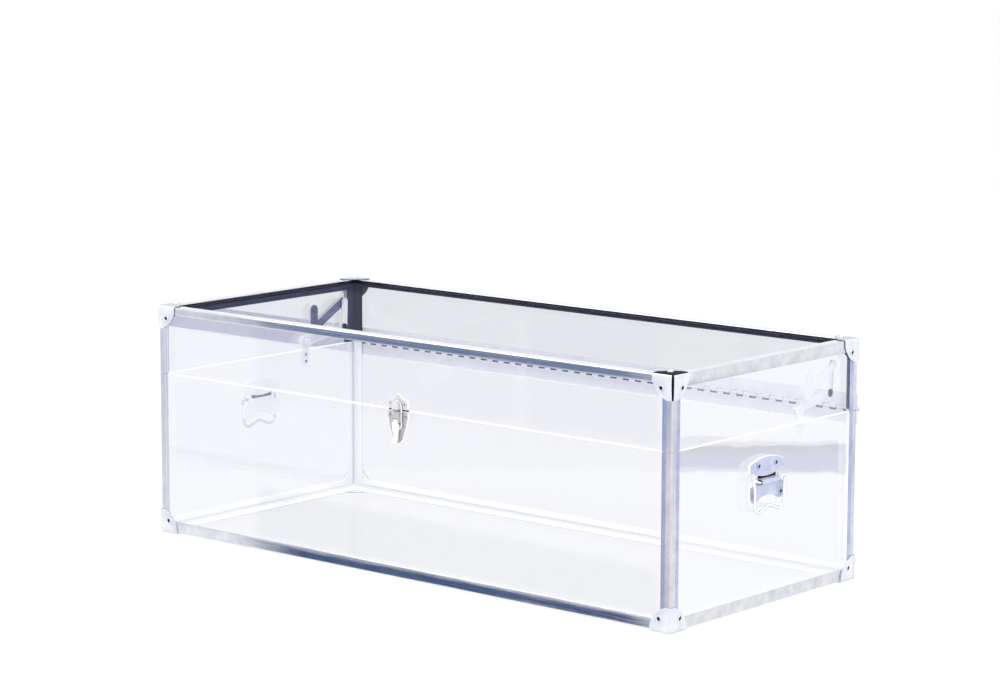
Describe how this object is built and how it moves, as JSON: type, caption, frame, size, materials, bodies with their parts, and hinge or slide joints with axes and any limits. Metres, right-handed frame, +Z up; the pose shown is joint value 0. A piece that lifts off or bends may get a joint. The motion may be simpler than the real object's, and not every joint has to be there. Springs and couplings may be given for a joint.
{
  "type": "shoe box",
  "caption": "Clear acrylic shoe box like a small trunk, with metal angle edges, capped corners, a hinged lid on folding stays, a draw latch and drop handles.",
  "frame": {"origin": "bottom centre of the whole object, on the surface it stands on", "axes": "+X along the front to the right, +Y from the front towards the hinge, +Z up"},
  "size_m": [0.7088, 0.3197, 0.2511],
  "materials": {
    "acrylic": "clear, polished",
    "edging": "bright, finely drawn along its length",
    "corner_metal": "pressed and polished",
    "hinge_metal": "bright nickel over rolled steel",
    "latch_metal": "polished, soft-edged from pressing",
    "handle_metal": "pressed and polished",
    "stay_metal": "bright nickel"
  },
  "bodies": {
    "base": {"base_back_panel": "acrylic", "base_bottom_rail_back": "edging", "base_bottom_rail_front": "edging", "base_bottom_rail_left": "edging", "base_bottom_rail_right": "edging", "base_corner_cap_back_left": "corner_metal", "base_corner_cap_back_right": "corner_metal", "base_corner_cap_front_left": "corner_metal", "base_corner_cap_front_right": "corner_metal", "base_floor_panel": "acrylic", "base_front_panel": "acrylic", "base_left_panel": "acrylic", "base_right_panel": "acrylic", "base_upright_back_left": "edging", "base_upright_back_right": "edging", "base_upright_front_left": "edging", "base_upright_front_right": "edging", "handle_plate_left": "handle_metal", "handle_plate_right": "handle_metal", "hinge_leaf_base": "hinge_metal", "hinge_pin": "hinge_metal", "latch_lever_pin": "latch_metal", "latch_plate": "latch_metal", "stay_bracket_base_left": "stay_metal", "stay_bracket_base_right": "stay_metal"},
    "lid": {"hinge_leaf_lid": "hinge_metal", "latch_keeper": "latch_metal", "lid_back_panel": "acrylic", "lid_corner_cap_back_left": "corner_metal", "lid_corner_cap_back_right": "corner_metal", "lid_corner_cap_front_left": "corner_metal", "lid_corner_cap_front_right": "corner_metal", "lid_front_panel": "acrylic", "lid_left_panel": "acrylic", "lid_right_panel": "acrylic", "lid_top_panel": "acrylic", "lid_top_rail_back": "edging", "lid_top_rail_front": "edging", "lid_top_rail_left": "edging", "lid_top_rail_right": "edging", "lid_upright_back_left": "edging", "lid_upright_back_right": "edging", "lid_upright_front_left": "edging", "lid_upright_front_right": "edging", "stay_bracket_lid_left": "stay_metal", "stay_bracket_lid_right": "stay_metal"},
    "latch_lever": {"latch_lever": "latch_metal"},
    "latch_loop": {"latch_loop": "latch_metal"},
    "bail_left": {"handle_bail_left": "handle_metal"},
    "bail_right": {"handle_bail_right": "handle_metal"},
    "stay_lower_left": {"stay_arm_lower_left": "stay_metal"},
    "stay_lower_right": {"stay_arm_lower_right": "stay_metal"},
    "stay_upper_left": {"stay_arm_upper_left": "stay_metal"},
    "stay_upper_right": {"stay_arm_upper_right": "stay_metal"}
  },
  "joints": [
    {"name": "lid_hinge", "type": "hinge", "parent": "base", "child": "lid", "pos_m": [0, 0.15768, 0.1755], "axis": [-1, 0, 0], "range_deg": [0, 75]},
    {"name": "latch_lever", "type": "hinge", "parent": "base", "child": "latch_lever", "pos_m": [0, -0.15502, 0.1647], "axis": [-1, 0, 0], "range_deg": [0, 90]},
    {"name": "latch_loop", "type": "hinge", "parent": "latch_lever", "child": "latch_loop", "pos_m": [0, -0.15423, 0.1579], "axis": [-1, 0, 0], "range_deg": [-73, 0]},
    {"name": "bail_left", "type": "hinge", "parent": "base", "child": "bail_left", "pos_m": [-0.3518, 0.00118, 0.1265], "axis": [0, 1, 0], "range_deg": [0, 90]},
    {"name": "stay_lower_left", "type": "hinge", "parent": "base", "child": "stay_lower_left", "pos_m": [-0.3422, 0.06567, 0.1855], "axis": [-1, 0, 0], "range_deg": [0, 9.8]},
    {"name": "stay_upper_left", "type": "hinge", "parent": "lid", "child": "stay_upper_left", "pos_m": [-0.3422, 0.08067, 0.1995], "axis": [-1, 0, 0], "range_deg": [0, 79.7]},
    {"name": "bail_right", "type": "hinge", "parent": "base", "child": "bail_right", "pos_m": [0.3518, 0.00118, 0.1265], "axis": [0, -1, 0], "range_deg": [0, 90]},
    {"name": "stay_lower_right", "type": "hinge", "parent": "base", "child": "stay_lower_right", "pos_m": [0.3422, 0.06567, 0.1855], "axis": [-1, 0, 0], "range_deg": [0, 9.8]},
    {"name": "stay_upper_right", "type": "hinge", "parent": "lid", "child": "stay_upper_right", "pos_m": [0.3422, 0.08067, 0.1995], "axis": [-1, 0, 0], "range_deg": [0, 79.7]}
  ],
  "couplings": [
    {"joint": "latch_loop", "follows": "latch_lever", "ratio": -0.8},
    {"joint": "stay_lower_left", "follows": "lid_hinge", "ratio": 0.12774},
    {"joint": "stay_upper_left", "follows": "lid_hinge", "ratio": 1.0554},
    {"joint": "stay_lower_right", "follows": "lid_hinge", "ratio": 0.12774},
    {"joint": "stay_upper_right", "follows": "lid_hinge", "ratio": 1.0554}
  ]
}
